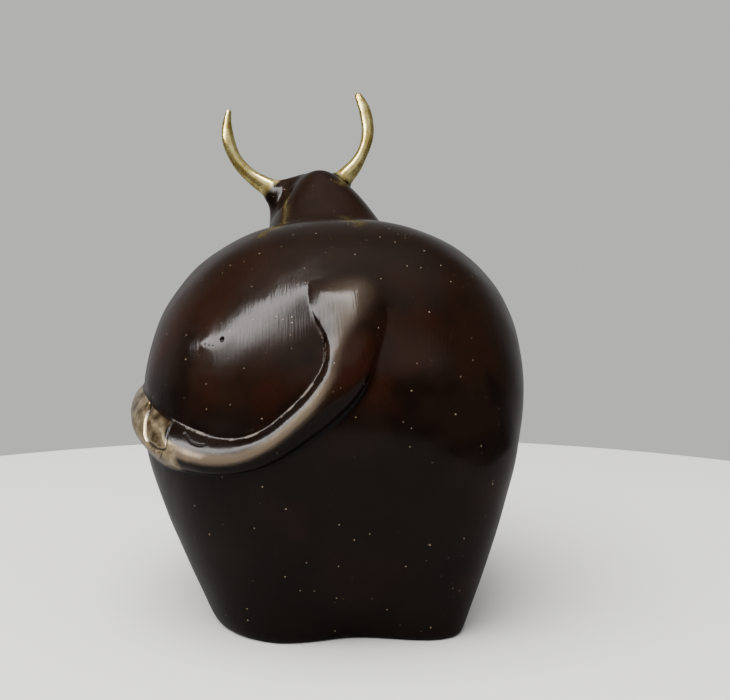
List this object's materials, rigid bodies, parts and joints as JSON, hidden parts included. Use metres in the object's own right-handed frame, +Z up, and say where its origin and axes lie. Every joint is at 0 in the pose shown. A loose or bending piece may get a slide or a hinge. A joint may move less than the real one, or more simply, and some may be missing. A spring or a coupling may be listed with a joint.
{
  "type": "bull figurine",
  "caption": "Stout rounded bull figurine, cast in one piece, with fused leg pairs, upswept horns and a tail laid over the rump and round one flank.",
  "frame": {"origin": "on the floor, under the middle of the whole bull, head and tail included", "axes": "+Z up, +Y the way the bull faces, +X to its right side"},
  "size_m": [0.1543, 0.2178, 0.2242],
  "materials": {
    "patinated_bronze": "glossy waxed dark brown patina over cast bronze, rubbed back to golden metal on the horns and the end of the tail"
  },
  "bodies": {
    "root": {"bull": "patinated_bronze"}
  },
  "joints": []
}
